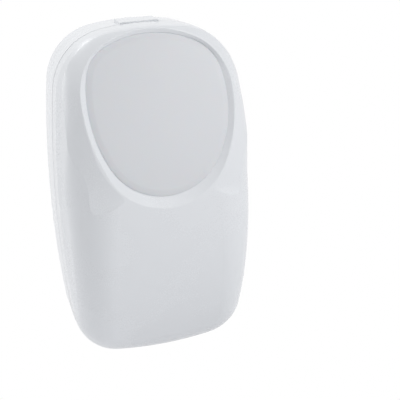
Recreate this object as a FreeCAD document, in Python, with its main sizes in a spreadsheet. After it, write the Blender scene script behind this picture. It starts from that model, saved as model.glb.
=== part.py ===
# Wall-mounted passive infrared motion detector, in millimetres.
# +Z is up, the wall is the plane y = 0 and the detector faces -Y.
# "depth" always means the distance in front of the wall, so y = -depth.
import FreeCAD, Part
import Sketcher
import math
import os
from types import SimpleNamespace

V = FreeCAD.Vector
DEG = math.pi / 180

# Driving dimensions: every value can be set by itself
SIZES = {
    # housing outline, seen from the front: eight tangent arcs
    "body_width": 84.0,
    "body_height": 148.0,
    "body_waist_drop": 0.7,
    "body_side_radius": 470.0,
    "body_top_radius": 105.0,
    "body_top_corner": 26.4,
    "body_bottom_radius": 160.0,
    "body_bottom_corner": 19.5,
    # housing, seen from the side
    "seam_depth": 22.6,
    "rear_draft": 3.5,
    "rear_round": 1.6,
    "cover_band": 7.4,
    "cover_draft": 7.5,
    "belly_depth": 57.5,
    "top_edge_depth": 33.2,
    "foot_edge_depth": 39.0,
    "crown_radius": 320.0,
    "front_round": 20.0,
    "foot_round": 16.0,
    "crest_round": 1.0,
    "round_fade_height": 8.0,
    # walls and seam
    "shell_wall": 2.2,
    "shell_floor": 2.4,
    "front_wall": 3.0,
    "seam_gap": 0.5,
    "lip_height": 2.0,
    "lip_wall": 1.2,
    "lip_clearance": 0.3,
    "lip_root": 4.0,
    # crest of the collar around the window
    "crest_width": 65.0,
    "crest_side_radius": 65.2,
    "crest_top": 73.2,
    "crest_top_radius": 44.8,
    "crest_top_corner": 22.8,
    "crest_bottom": 1.8,
    "crest_bottom_radius": 28.4,
    "crest_corner_height": 9.6,
    "crest_lift": 0.15,
    "collar_wall": 1.8,
    # shoulders that fall away beside the collar
    "shoulder_drop": 36.0,
    "shoulder_radius": 150.0,
    "shoulder_peak": 53.6,
    "shoulder_start": -1.3,
    "shoulder_foot": 28.0,
    "shoulder_fullness": 0.1,
    "shoulder_run_out": 2.5,
    # window
    "window_width": 60.0,
    "window_side_radius": 49.6,
    "window_top": 71.2,
    "window_top_radius": 48.0,
    "window_top_corner": 15.8,
    "window_bottom": 7.0,
    "window_bottom_radius": 27.0,
    "window_gap": 0.25,
    "window_sink": 1.2,
    "window_wall": 1.4,
    "window_shoulder": 1.3,
    "bevel_sink": 2.3,
    "bevel_overlap": 0.6,
    "flange_width": 0.8,
    "flange_thickness": 1.0,
    # cover hanging on the rear shell
    "tab_width": 17.0,
    "tab_rise": 0.35,
    "tab_length": 10.0,
    "tongue_width": 12.0,
    "tongue_thickness": 1.6,
    "tongue_drop": 2.7,
    "tongue_root": 3.6,
    "hook_reach": 5.0,
    "hook_nose": 1.5,
    "hook_rise": 1.4,
    "hook_relief": 0.2,
    "hook_clearance": 0.5,
    "hook_land": 2.1,
    "catch_width": 14.0,
    "catch_reach": 5.0,
    "catch_inset": 3.1,
    "catch_thickness": 1.5,
    "catch_tooth": 0.5,
    # wall fixing
    "fixing_spacing": 46.0,
    "fixing_height": 124.0,
    "fixing_hole": 4.2,
    "fixing_pad": 9.0,
    "fixing_pad_height": 1.0,
    "cable_entry_width": 18.0,
    "cable_entry_height": 9.0,
    "cable_entry_drop": 60.0,
    # circuit board
    "board_width": 64.0,
    "board_top": 54.0,
    "board_bottom": 52.0,
    "board_corner": 4.0,
    "board_depth": 9.0,
    "board_thickness": 1.6,
    "post_spacing": 55.0,
    "post_top": 46.0,
    "post_bottom": 46.0,
    "post_diameter": 6.4,
    "screw_hole": 2.6,
    "screw_shank": 2.2,
    "screw_head": 5.0,
    "screw_head_height": 1.9,
    "screw_length": 5.0,
    # mirror optic
    "focus_depth": 32.0,
    "focus_height": 6.0,
    "facet_width": 8.4,
    "facet_spread": 17.0,
    "facet_reach": 13.0,
    "mirror_wall": 2.2,
    "mirror_low": 18.0,
    "mirror_low_depth": 17.4,
    "mirror_low_height": 13.0,
    "mirror_mid_depth": 20.0,
    "mirror_mid_height": 14.0,
    "mirror_high_depth": 26.0,
    "mirror_high_height": 13.0,
    "mirror_riser": 1.4,
    "cheek_thickness": 1.6,
    "cheek_front": 41.0,
    "cheek_top": 61.0,
    # sensor on its shelf board
    "shelf_bottom": 0.0,
    "shelf_thickness": 1.6,
    "shelf_width": 28.0,
    "shelf_length": 29.0,
    "sensor_board_thickness": 1.2,
    "sensor_standoff": 0.4,
    "sensor_flange": 9.2,
    "sensor_flange_thickness": 0.6,
    "sensor_can": 8.2,
    "sensor_can_height": 3.9,
    "sensor_can_wall": 0.3,
    "filter_length": 4.2,
    "filter_width": 3.2,
    "filter_thickness": 0.4,
    "header_pitch": 2.54,
    "header_pin": 0.64,
    "header_body": 2.5,
    # terminal block
    "terminal_pitch": 5.08,
    "terminal_width": 10.0,
    "terminal_height": 12.0,
    "terminal_bottom": 50.5,
    "terminal_screw": 3.4,
    "terminal_screw_hole": 3.9,
    "terminal_screw_sink": 1.2,
    "terminal_mouth": 3.8,
    "terminal_mouth_height": 4.2,
    "screw_slot_depth": 0.8,
    "screw_slot_width": 0.7,
    "clamp_height": 2.8,
    "clamp_edge": 0.6,
    # other components on the board
    "relay_x": -20.0,
    "relay_z": -28.0,
    "relay_length": 15.5,
    "relay_width": 10.2,
    "relay_height": 11.4,
    "capacitor_x": 4.0,
    "capacitor_z": -29.0,
    "capacitor_pitch": 9.2,
    "capacitor_diameter": 7.6,
    "capacitor_height": 11.0,
    "controller_x": -4.0,
    "controller_z": -12.5,
    "controller_side": 10.0,
    "controller_height": 1.4,
    "lead_pitch": 1.2,
    "lead_width": 0.45,
    "lead_reach": 1.1,
    "lead_rise": 0.7,
    "amplifier_x": 10.5,
    "amplifier_z": -12.5,
    "amplifier_length": 8.7,
    "amplifier_width": 3.9,
    "amplifier_height": 1.5,
    "crystal_x": -20.0,
    "crystal_z": -10.5,
    "crystal_length": 10.2,
    "crystal_width": 4.4,
    "crystal_height": 3.6,
    "jumper_x": 21.0,
    "jumper_z": -26.0,
    "jumper_pin_height": 8.5,
    "jumper_cap_height": 6.0,
    "chip_x": -6.0,
    "chip_z": -21.4,
    "chip_length": 2.0,
    "chip_width": 1.25,
    "chip_height": 0.6,
    "chip_pitch": 3.4,
    # indicator and its light guide
    "lamp_x": 26.2,
    "lamp_z": 28.0,
    "lamp_diameter": 3.0,
    "lamp_height": 4.6,
    "guide_foot_height": 6.0,
    "guide_diameter": 3.0,
    "guide_gap": 0.3,
    "guide_end_drop": 10.5,
    # tamper switch
    "tamper_x": 27.5,
    "tamper_z": -10.0,
    "tamper_side": 7.4,
    "tamper_height": 7.0,
    "plunger_diameter": 3.2,
    "plunger_clearance": 0.15,
    "plunger_tip_depth": 21.4,
    "plunger_travel": 1.2,
    "plunger_gap": 0.25,
    "post_diameter_top": 5.0,
}


class Size:
    """A length that carries its number and the sheet expression that gives it."""

    def __init__(self, number, text):
        self.number = number
        self.text = text

    def __add__(self, other):
        return Size(self.number + number_of(other), f"({self.text} + {text_of(other)})")

    def __sub__(self, other):
        return Size(self.number - number_of(other), f"({self.text} - {text_of(other)})")

    def __mul__(self, other):
        return Size(self.number * number_of(other), f"({self.text} * {text_of(other)})")

    def __truediv__(self, other):
        return Size(self.number / number_of(other), f"({self.text} / {text_of(other)})")

    def __radd__(self, other):
        return self + other

    def __rmul__(self, other):
        return self * other

    def __rsub__(self, other):
        return Size(other - self.number, f"({other} - {self.text})")

    def __neg__(self):
        return Size(-self.number, f"(-{self.text})")

    def __float__(self):
        return float(self.number)


def number_of(value):
    return value.number if isinstance(value, Size) else float(value)


def text_of(value):
    return value.text if isinstance(value, Size) else repr(float(value))


doc = FreeCAD.newDocument("motion_detector")
sheet = doc.addObject("Spreadsheet::Sheet", "dims")
for row, (alias, value) in enumerate(SIZES.items(), start=1):
    sheet.set(f"A{row}", alias)
    sheet.set(f"B{row}", str(value))
    sheet.setAlias(f"B{row}", alias)
doc.recompute()
d = SimpleNamespace(**{alias: Size(float(sheet.get(alias)), f"dims.{alias}") for alias in SIZES})


# Small helpers that make objects of the document and tie them to the sheet

def add(kind, name):
    return doc.addObject(kind, name)


def bind(item, **sizes):
    """Set properties of an object and tie each to its expression."""
    for name, value in sizes.items():
        setattr(item, name, number_of(value))
        if isinstance(value, Size):
            item.setExpression(name, value.text)
    return item


def place(item, x=0.0, depth=0.0, z=0.0, rotation=None):
    """Put an object at x, at a depth in front of the wall and at a height."""
    item.Placement = FreeCAD.Placement(
        V(number_of(x), -number_of(depth), number_of(z)), rotation or FreeCAD.Rotation()
    )
    for axis, value in (("x", x), ("y", -depth if isinstance(depth, Size) else 0.0), ("z", z)):
        if isinstance(value, Size):
            item.setExpression(f"Placement.Base.{axis}", value.text)
    return item


FORWARD = FreeCAD.Rotation(V(1, 0, 0), 90)
SIDEWAYS = FreeCAD.Rotation(V(0, 0, 1), -90).multiply(FORWARD)


def block(name, x, depth, z, width, length, height):
    """A box centred on x, standing forward from a depth and up from a height."""
    item = bind(add("Part::Box", name), Length=width, Width=length, Height=height)
    return place(item, x - width / 2, depth + length, z)


def rod(name, x, depth, z, diameter, length):
    """A cylinder that stands forward from a depth."""
    item = bind(add("Part::Cylinder", name), Radius=diameter / 2, Height=length)
    return place(item, x, depth, z, FORWARD)


def pillar(name, x, depth, z, diameter, height):
    """A cylinder that stands up from a height."""
    item = bind(add("Part::Cylinder", name), Radius=diameter / 2, Height=height)
    return place(item, x, depth, z)


def fuse(name, items):
    item = add("Part::MultiFuse", name)
    item.Shapes = items
    return item


def common(name, items):
    item = add("Part::MultiCommon", name)
    item.Shapes = items
    return item


def cut(name, base, *tools):
    """The base with every tool taken out of it."""
    item = add("Part::Cut", name)
    item.Base = base
    item.Tool = tools[0] if len(tools) == 1 else fuse(name + "_tools", list(tools))
    return item


def rounded(name, base, radius, chooser):
    """Round the edges of an object that the chooser picks."""
    doc.recompute()
    item = add("Part::Fillet", name)
    item.Base = base
    item.Edges = [
        (number, number_of(radius), number_of(radius))
        for number, edge in enumerate(base.Shape.Edges, start=1)
        if chooser(edge)
    ]
    return item


def group(name, items):
    """Several like solids, kept apart in one object."""
    item = add("Part::Compound", name)
    item.Links = items
    return item


def shape_object(name, shape):
    item = add("Part::Feature", name)
    item.Shape = shape
    return item


def middle(edge):
    return edge.valueAt((edge.FirstParameter + edge.LastParameter) / 2)


# Sketches

def constrain(sketch, kind, *where, value=None, name=None):
    """Add a constraint, and tie it to its expression where it has a size."""
    if value is None:
        return sketch.addConstraint(Sketcher.Constraint(kind, *where))
    number = sketch.addConstraint(Sketcher.Constraint(kind, *where, number_of(value)))
    if isinstance(value, Size):
        label = name or f"size_{number}"
        sketch.renameConstraint(number, label)
        sketch.setExpression(f"Constraints.{label}", value.text)
    return number


def pin(sketch, shape, point, x, z):
    """Fix one point of a sketch at signed distances from the origin."""
    for kind, axis, value in (("DistanceX", -2, x), ("DistanceY", -1, z)):
        if value is None:
            continue
        if abs(number_of(value)) < 1e-9:
            constrain(sketch, "PointOnObject", shape, point, axis)
        elif number_of(value) > 0:
            constrain(sketch, kind, -1, 1, shape, point, value=value)
        else:
            constrain(sketch, kind, shape, point, -1, 1, value=-value)


def new_sketch(name, body=None, depth=0.0, rotation=FORWARD, role="XZ_Plane"):
    """A sketch parallel to the wall, in a body or on its own."""
    if body is None:
        sketch = add("Sketcher::SketchObject", name)
        return place(sketch, 0.0, depth, 0.0, rotation)
    sketch = body.newObject("Sketcher::SketchObject", name)
    plane = [item for item in body.Origin.OriginFeatures if item.Role == role][0]
    sketch.AttachmentSupport = [(plane, "")]
    sketch.MapMode = "FlatFace"
    sketch.AttachmentOffset = FreeCAD.Placement(V(0, 0, number_of(depth)), FreeCAD.Rotation())
    if isinstance(depth, Size):
        sketch.setExpression("AttachmentOffset.Base.z", depth.text)
    return sketch


def rectangle(sketch, x, z, width, height):
    """A rectangle by its centre line x, its lower edge z, its width and its height."""
    corners = [
        (x - width / 2, z),
        (x + width / 2, z),
        (x + width / 2, z + height),
        (x - width / 2, z + height),
    ]
    polygon(sketch, corners)


def polygon(sketch, corners):
    """A closed run of straight lines, with each corner fixed from the origin."""
    start = sketch.GeometryCount
    points = [V(number_of(x), number_of(z), 0) for x, z in corners]
    for here, there in zip(points, points[1:] + points[:1]):
        sketch.addGeometry(Part.LineSegment(here, there), False)
    for number, (x, z) in enumerate(corners):
        before = start + (number - 1) % len(corners)
        constrain(sketch, "Coincident", before, 2, start + number, 1)
        pin(sketch, start + number, 1, x, z)


def circle(sketch, x, z, diameter):
    radius = diameter / 2
    number = sketch.addGeometry(
        Part.Circle(V(number_of(x), number_of(z), 0), V(0, 0, 1), number_of(radius)), False
    )
    constrain(sketch, "Radius", number, value=radius)
    pin(sketch, number, 3, x, z)


class Outline:
    """A symmetric closed outline of tangent arcs, given by its right half.

    With a bottom corner the outline is a soft rectangle; without one its side arcs run
    straight into the bottom arc and it is an egg.
    """

    def __init__(self, width, side, top, top_radius, top_corner, bottom, bottom_radius,
                 middle=None, bottom_corner=None):
        self.half = width / 2
        self.top_centre = (0.0, top - top_radius)
        self.bottom_centre = (0.0, bottom + bottom_radius)
        self.radii = {"bottom": bottom_radius, "low": bottom_corner, "side": side,
                      "high": top_corner, "top": top_radius}
        self.side_centre = (self.half - side, middle)

    def arcs(self, inset=0.0):
        """Name, centre, radius and angles of each arc from the bottom up, on the right."""
        radii = {name: number_of(size) for name, size in self.radii.items() if size is not None}
        bottom_centre = (0.0, number_of(self.bottom_centre[1]))
        top_centre = (0.0, number_of(self.top_centre[1]))
        across, middle = self.side_centre
        side_centre = (number_of(across), 0.0)
        centres = {"bottom": bottom_centre, "top": top_centre}
        if "low" in radii:
            side_centre = (number_of(across), number_of(middle))
            centres["low"] = corner_centre(
                bottom_centre, radii["bottom"], side_centre, radii["side"], radii["low"]
            )
        else:
            apart = radii["side"] - radii["bottom"]
            rise = math.sqrt(apart * apart - side_centre[0] ** 2)
            side_centre = (side_centre[0], bottom_centre[1] + rise)
        centres["side"] = side_centre
        centres["high"] = corner_centre(
            top_centre, radii["top"], side_centre, radii["side"], radii["high"]
        )
        names = [name for name in ("bottom", "low", "side", "high", "top") if name in radii]
        turns = [-math.pi / 2]
        for first, second in zip(names, names[1:]):
            if radii[first] > radii[second]:
                turns.append(heading(centres[first], centres[second]))
            else:
                turns.append(heading(centres[second], centres[first]))
        turns.append(math.pi / 2)
        return [
            (name, centres[name], radii[name] - number_of(inset), begin, end)
            for name, begin, end in zip(names, turns, turns[1:])
        ]

    def length(self, inset=0.0):
        return sum(radius * (end - begin) for _, _, radius, begin, end in self.arcs(inset))

    def point(self, distance, inset=0.0):
        """The point at a distance along the right half, from the bottom centre."""
        for _, centre, radius, begin, end in self.arcs(inset):
            angle = begin + distance / radius
            if angle <= end:
                break
            distance -= radius * (end - begin)
        angle = min(angle, end)
        return centre[0] + radius * math.cos(angle), centre[1] + radius * math.sin(angle)

    def distance_at(self, height, inset=0.0):
        """How far along the right half the outline reaches a height."""
        low, high = 0.0, self.length(inset)
        for _ in range(50):
            half = (low + high) / 2
            if self.point(half, inset)[1] < height:
                low = half
            else:
                high = half
        return low

    def draw(self, sketch, inset=0.0, split=None):
        """Draw the outline; split cuts both side arcs at a height."""
        pieces = []
        for name, centre, radius, begin, end in self.arcs(inset):
            turns = [begin, end]
            if name == "side" and split is not None:
                turns.insert(1, math.asin((number_of(split) - centre[1]) / radius))
            pieces += [(name, (centre, radius, *pair)) for pair in zip(turns, turns[1:])]
        (_, bottom), (_, top), right = pieces[0], pieces[-1], pieces[1:-1]
        run = [("top", 1, (*top[:3], math.pi - top[2]))]
        for name, (centre, radius, begin, end) in reversed(right):
            turned = ((-centre[0], centre[1]), radius, math.pi - end, math.pi - begin)
            run.append((name, -1, turned))
        run.append(("bottom", 1, (*bottom[:2], -math.pi - bottom[3], bottom[3])))
        run += [(name, 1, piece) for name, piece in right]
        start = sketch.GeometryCount
        for _, _, (centre, radius, begin, end) in run:
            ring = Part.Circle(V(centre[0], centre[1], 0), V(0, 0, 1), radius)
            sketch.addGeometry(Part.ArcOfCircle(ring, begin, end), False)
        centres = {"top": self.top_centre, "bottom": self.bottom_centre}
        for number, (part, hand, _) in enumerate(run):
            here, there = start + number, start + (number + 1) % len(run)
            same_as_next = run[(number + 1) % len(run)][0] == part
            same_as_last = run[number - 1][0] == part
            if same_as_next:
                constrain(sketch, "Coincident", here, 2, there, 1)
                constrain(sketch, "Coincident", here, 3, there, 3)
                pin_height(sketch, here, 2, split)
            else:
                constrain(sketch, "Tangent", here, 2, there, 1)
            if same_as_last:
                continue
            radius = self.radii[part]
            if number_of(inset):
                radius = radius - inset
            constrain(sketch, "Radius", here, value=radius)
            if part in centres:
                pin(sketch, here, 3, *centres[part])
            elif part == "side":
                x, z = self.side_centre
                pin(sketch, here, 3, x if hand > 0 else -x, z)


def pin_height(sketch, shape, point, height):
    if number_of(height) > 0:
        constrain(sketch, "DistanceY", -1, 1, shape, point, value=height)
    else:
        constrain(sketch, "DistanceY", shape, point, -1, 1, value=-height)


def heading(centre, point):
    return math.atan2(point[1] - centre[1], point[0] - centre[0])


def corner_centre(first, first_radius, second, second_radius, radius):
    """Centre of an arc inside two larger arcs and tangent to both, on the right."""
    a, b = first_radius - radius, second_radius - radius
    dx, dz = second[0] - first[0], second[1] - first[1]
    gap = math.hypot(dx, dz)
    along = (a * a - b * b + gap * gap) / (2 * gap)
    across = math.sqrt(max(a * a - along * along, 0.0))
    ex, ez = dx / gap, dz / gap
    px, pz = first[0] + ex * along, first[1] + ez * along
    return max((px - ez * across, pz + ex * across), (px + ez * across, pz - ex * across))



# Forms shared by the housing parts

body = Outline(
    d.body_width, d.body_side_radius, d.body_height / 2, d.body_top_radius,
    d.body_top_corner, -d.body_height / 2, d.body_bottom_radius,
    middle=-d.body_waist_drop, bottom_corner=d.body_bottom_corner,
)
crest = Outline(
    d.crest_width, d.crest_side_radius, d.crest_top, d.crest_top_radius,
    d.crest_top_corner, d.crest_bottom, d.crest_bottom_radius,
)
lens = Outline(
    d.window_width, d.window_side_radius, d.window_top, d.window_top_radius,
    d.window_top_corner, d.window_bottom, d.window_bottom_radius,
)
band_depth = d.seam_depth + d.cover_band
body_top = d.body_height / 2


def extrusion(name, sketch, length, back=0.0, taper=0.0):
    """A sketch pushed forward, or backward, with walls that lean inward by the taper."""
    item = add("Part::Extrusion", name)
    item.Base = sketch
    item.DirMode = "Normal"
    item.Solid = True
    bind(item, LengthFwd=length, LengthRev=back)
    if number_of(taper) and number_of(length):
        bind(item, TaperAngle=-taper)
    if number_of(taper) and not number_of(length):
        bind(item, TaperAngleRev=-taper)
    return item


def prism(name, outline, inset, depth, length, **more):
    """An outline made solid from a depth forward."""
    sketch = new_sketch(name + "_outline", depth=depth)
    outline.draw(sketch, inset, more.pop("split", None))
    return extrusion(name, sketch, length, **more)


def front_radius(edge_depth):
    """Radius of the front's side profile that reaches a depth at the outline's end."""
    fall = d.belly_depth - edge_depth
    return (body_top * body_top + fall * fall) / (2 * fall)


upper_radius = front_radius(d.top_edge_depth)
lower_radius = front_radius(d.foot_edge_depth)


def crowned(name, inset):
    """Everything behind the crowned front, moved back by an inset."""
    sketch = new_sketch(name + "_profile", rotation=SIDEWAYS)
    reach = body_top + 6
    foot = d.shell_floor
    belly = d.belly_depth - inset
    runs = []
    for radius, end in ((lower_radius - inset, -1), (upper_radius - inset, 1)):
        turn = math.asin(number_of(reach) / number_of(radius))
        ring = Part.Circle(
            V(number_of(belly - radius), 0, 0), V(0, 0, 1), number_of(radius)
        )
        angles = (-turn, 0) if end < 0 else (0, turn)
        runs.append((radius, end, sketch.addGeometry(Part.ArcOfCircle(ring, *angles), False)))
    lower, upper = runs[0][2], runs[1][2]
    high = sketch.Geometry[upper].EndPoint
    low = sketch.Geometry[lower].StartPoint
    far, near = number_of(foot), number_of(reach)
    sketch.addGeometry(Part.LineSegment(high, V(far, near, 0)), False)
    sketch.addGeometry(Part.LineSegment(V(far, near, 0), V(far, -near, 0)), False)
    sketch.addGeometry(Part.LineSegment(V(far, -near, 0), low), False)
    constrain(sketch, "Coincident", lower, 2, upper, 1)
    for first, second in ((upper, 2), (2, 3), (3, 4)):
        constrain(sketch, "Coincident", first, 2, second, 1)
    constrain(sketch, "Coincident", 4, 2, lower, 1)
    for radius, end, number in runs:
        constrain(sketch, "Radius", number, value=radius)
        constrain(sketch, "PointOnObject", number, 3, -1)
    pin(sketch, upper, 1, belly, 0.0)
    pin(sketch, 2, 2, foot, reach)
    pin(sketch, 3, 2, foot, -reach)
    constrain(sketch, "Horizontal", 2)
    constrain(sketch, "Horizontal", 4)
    item = add("Part::Revolution", name)
    item.Source = sketch
    item.Axis = V(0, 0, 1)
    axis = d.crown_radius - d.belly_depth
    item.Base = V(0, number_of(axis), 0)
    item.setExpression("Base.y", axis.text)
    item.Angle = 30
    item.Symmetric = True
    item.Solid = True
    return item


def front_depth(x, z, inset=0.0):
    """Depth of the crowned front at a point."""
    radius = float(upper_radius if z > 0 else lower_radius) - inset
    fall = radius - math.sqrt(radius * radius - z * z)
    axis = float(d.crown_radius) - float(d.belly_depth)
    reach = float(d.crown_radius) - inset - fall
    return math.sqrt(reach * reach - x * x) - axis


def between(height, heights, values):
    """The value at a height, read off straight runs between the given ones."""
    if height <= heights[0]:
        return values[0]
    for low, high, first, last in zip(heights, heights[1:], values, values[1:]):
        if height <= high:
            return first + (last - first) * (height - low) / (high - low)
    return values[-1]


def housing(name, wall, front, less, back=0.0):
    """The outline cut off by the crowned front: a straight rim, then walls that taper.

    The round on the front edge is largest beside the belly, and shrinks upward to the
    crest and downward to the foot.
    """
    rim = prism(name + "_rim", body, wall, d.seam_depth - back, d.cover_band + back)
    walls = prism(
        name + "_walls", body, wall, band_depth, d.belly_depth - d.cover_band,
        split=d.round_fade_height, taper=d.cover_draft,
    )
    blank = common(name + "_blank", [walls, crowned(name + "_front", front)])
    doc.recompute()
    heights = [
        float(d.body_bottom_corner) - float(body_top),
        float(d.round_fade_height),
        float(body_top) - float(d.body_top_corner),
    ]
    radii = [float(d.foot_round) - less, float(d.front_round) - less, float(d.crest_round)]
    edges = []
    for number, edge in enumerate(blank.Shape.Edges, start=1):
        ends = [vertex.Point for vertex in edge.Vertexes]
        centre = middle(edge)
        if any(-point.y < float(band_depth) + 1 for point in ends + [centre]):
            continue
        if abs(centre.z) < 0.5 and abs(centre.x) < 1:
            continue
        first, last = edge.valueAt(edge.FirstParameter), edge.valueAt(edge.LastParameter)
        if centre.x < 0:
            first, last = last, first
        edges.append((number, between(first.z, heights, radii), between(last.z, heights, radii)))
    rounding = add("Part::Fillet", name + "_rounded")
    rounding.Base = blank
    rounding.Edges = edges
    return fuse(name, [rim, rounding])


def curve(points, closed=False):
    line = Part.BSplineCurve()
    line.interpolate([V(*point) for point in points], PeriodicFlag=closed)
    return line.toShape()


def both_hands(points):
    """A run of points on the right, taken on over the centre line to the left."""
    return points + [(-x, y, z) for x, y, z in reversed(points[:-1])]


def shoulders(name, inset, lower):
    """The space beside the collar: a skin from its crest out to the housing's rim.

    The skin is flat across near the crest's lower corner and fuller higher up. It starts
    a little below that corner, where it rises to run out of the housing's front.
    """
    lead = 0.04
    start = crest.distance_at(float(d.crest_corner_height) - inset, inset)
    finish = crest.length(inset)
    outside = inset - 1.0
    begin = body.distance_at(float(d.shoulder_start) - inset, outside)
    end = body.length(outside)
    radius, foot = float(d.shoulder_radius), float(d.shoulder_foot)
    runs = []
    for step in range(31):
        share = step / 30 * (1 + lead) - lead
        x, z = crest.point(start + (finish - start) * share, inset)
        inner = V(x, lower - front_depth(x, z) - float(d.crest_lift), z)
        x, z = body.point(begin + (end - begin) * share, outside)
        slid = z + float(d.shoulder_drop)
        fall = float(d.shoulder_peak) - radius + math.sqrt(radius * radius - slid * slid)
        soft = math.hypot(fall - foot, 3.0)
        outer = V(x, lower - (fall + foot + soft) / 2, z)
        across = outer - inner
        run = math.hypot(across.x, across.z)
        out = V(across.x * across.y / run, -run, across.z * across.y / run)
        rise = min(max(share / 0.4, 0.0), 1.0)
        fullness = float(d.shoulder_fullness) * rise * rise * (3 - 2 * rise)
        fullness += float(d.shoulder_run_out) * max(-share / lead, 0.0) / across.Length
        row = []
        for part in (0.0, 0.25, 0.5, 0.75, 1.0):
            point = inner + across * part + out * (4 * part * (1 - part) * fullness)
            row.append((point.x, point.y, point.z))
        runs.append(row)
    runs += [[(-x, y, z) for x, y, z in row] for row in reversed(runs[:-1])]
    surface = Part.BSplineSurface()
    surface.interpolate([[V(*point) for point in row] for row in runs])
    return shape_object(name, surface.toShape().extrude(V(0, -float(d.belly_depth), 0)))


def bevel(name):
    """The space in front of the bevel that runs from the crest down to the window."""
    steps = 36
    overlap = float(d.bevel_overlap)
    outer_length, inner_length = crest.length(), lens.length(overlap)
    outer, inner = [], []
    for step in range(steps + 1):
        share = step / steps
        x, z = crest.point(outer_length * share)
        outer.append((x, -front_depth(x, z) - float(d.crest_lift), z))
        x, z = lens.point(inner_length * share, overlap)
        inner.append((x, float(d.bevel_sink) - front_depth(x, z), z))
    rings = [curve(both_hands(points)[:-1], closed=True) for points in (outer, inner)]
    skin = Part.makeRuledSurface(*rings)
    return shape_object(name, skin.extrude(V(0, -10, 0)))


# Front cover

cover_skin = housing("cover_skin", 0.0, 0.0, 0.0)
cavity_skin = housing("cavity_skin", d.shell_wall, d.front_wall, float(d.shell_wall), back=1.0)
cover_scooped = cut("cover_scooped", cover_skin, shoulders("shoulder_scoops", 0.0, 0.0))
cover_outside = cut("cover_outside", cover_scooped, bevel("window_bevel"))
inner_scoops = shoulders("inner_shoulders", float(d.collar_wall), float(d.collar_wall))
cavity = cut("cover_cavity", cavity_skin, inner_scoops)
aperture = prism("window_aperture", lens, 0.0, band_depth, d.belly_depth)
cover_open = cut("cover_open", cover_outside, aperture)
cover_shell = cut("cover_shell", cover_open, cavity)

# The cover hangs by a tongue with an upturned nose behind the rear shell's top edge
hang = body_top - d.tongue_drop
nose_depth = d.seam_depth - d.hook_reach
tongue = block(
    "hook_tongue", 0.0, nose_depth, hang - d.tongue_thickness,
    d.tongue_width, d.hook_reach + d.tongue_root, d.tongue_thickness,
)
nose = block(
    "hook_nose", 0.0, nose_depth, hang - d.tongue_thickness,
    d.tongue_width, d.hook_nose, d.tongue_thickness + d.hook_rise,
)
hook_root = block(
    "hook_root", 0.0, d.seam_depth + d.hook_relief, hang - d.tongue_thickness,
    d.tongue_width, d.tongue_root - d.hook_relief, d.tongue_thickness + d.tongue_drop - 1.0,
)
# A tongue at the bottom holds the cover shut
sill = d.catch_inset - body_top
catch = block(
    "catch_tongue", 0.0, d.seam_depth - d.catch_reach, sill,
    d.catch_width, d.catch_reach + d.tongue_root, d.catch_thickness,
)
catch_root = block(
    "catch_root", 0.0, d.seam_depth + d.hook_relief, sill - d.catch_inset + 1.0,
    d.catch_width, d.tongue_root - d.hook_relief, d.catch_thickness + d.catch_inset - 1.0,
)
catch_tooth = block(
    "catch_tooth", 0.0, d.seam_depth - d.catch_reach, sill - d.catch_tooth,
    d.catch_width - 4.0, 1.2, d.catch_tooth + 0.4,
)
# A post presses the tamper switch while the cover is shut
post_end = d.plunger_tip_depth + d.plunger_gap
post = common("tamper_post", [
    rod("post_rod", d.tamper_x, post_end, d.tamper_z, d.post_diameter_top, d.belly_depth),
    crowned("post_limit", 1.5),
])
front_cover = fuse(
    "front_cover",
    [cover_shell, tongue, nose, hook_root, catch, catch_root, catch_tooth, post],
)

# Window: a thin moulding with a rounded shoulder, a skirt and a flange behind the land
pane = common("window_pane", [
    prism("window_walls", lens, d.window_gap, band_depth - 4.0, d.belly_depth),
    crowned("window_front", d.window_sink),
])
pane_rounded = rounded(
    "window_rounded", pane, d.window_shoulder,
    lambda edge: -middle(edge).y > float(band_depth) - 1.5 and not (
        abs(middle(edge).x) < 1 and -1 < middle(edge).z < 1
    ),
)
flange = common("window_flange", [
    prism("flange_walls", lens, -d.flange_width, band_depth - 4.0, d.belly_depth),
    crowned("flange_front", d.front_wall + 0.1),
    block("flange_limit", 0.0, 0.0, d.window_bottom - 8.0,
          d.body_width, 2 * d.belly_depth, d.window_top - d.window_bottom + 6.0),
])
pane_hollow = common("window_hollow", [
    prism("hollow_walls", lens, d.window_gap + d.window_wall, band_depth - 5.0, d.belly_depth),
    crowned("hollow_front", d.window_sink + d.window_wall),
])
window = cut(
    "window", fuse("window_solid", [pane_rounded, flange]),
    pane_hollow, crowned("window_back", d.front_wall + 0.1 + d.flange_thickness),
)
# Rear shell

floor = d.shell_floor


def drafted(name, inset, length, depth=None):
    """The outline from the seam back towards the wall, with the rear draft."""
    sketch = new_sketch(name + "_outline", depth=d.seam_depth if depth is None else depth)
    body.draw(sketch, inset)
    return extrusion(name, sketch, 0.0, back=length, taper=d.rear_draft)


shell_skin = rounded(
    "shell_skin", drafted("shell_walls", 0.0, d.seam_depth), d.rear_round,
    lambda edge: abs(middle(edge).y) < 0.01,
)
shell_hollow = drafted("shell_hollow", d.shell_wall, d.seam_depth - floor)
seam_trim = prism("seam_trim", body, -2.0, d.seam_depth - d.seam_gap, 5.0)
shell_tray = cut("shell_tray", shell_skin, shell_hollow, seam_trim)
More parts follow.
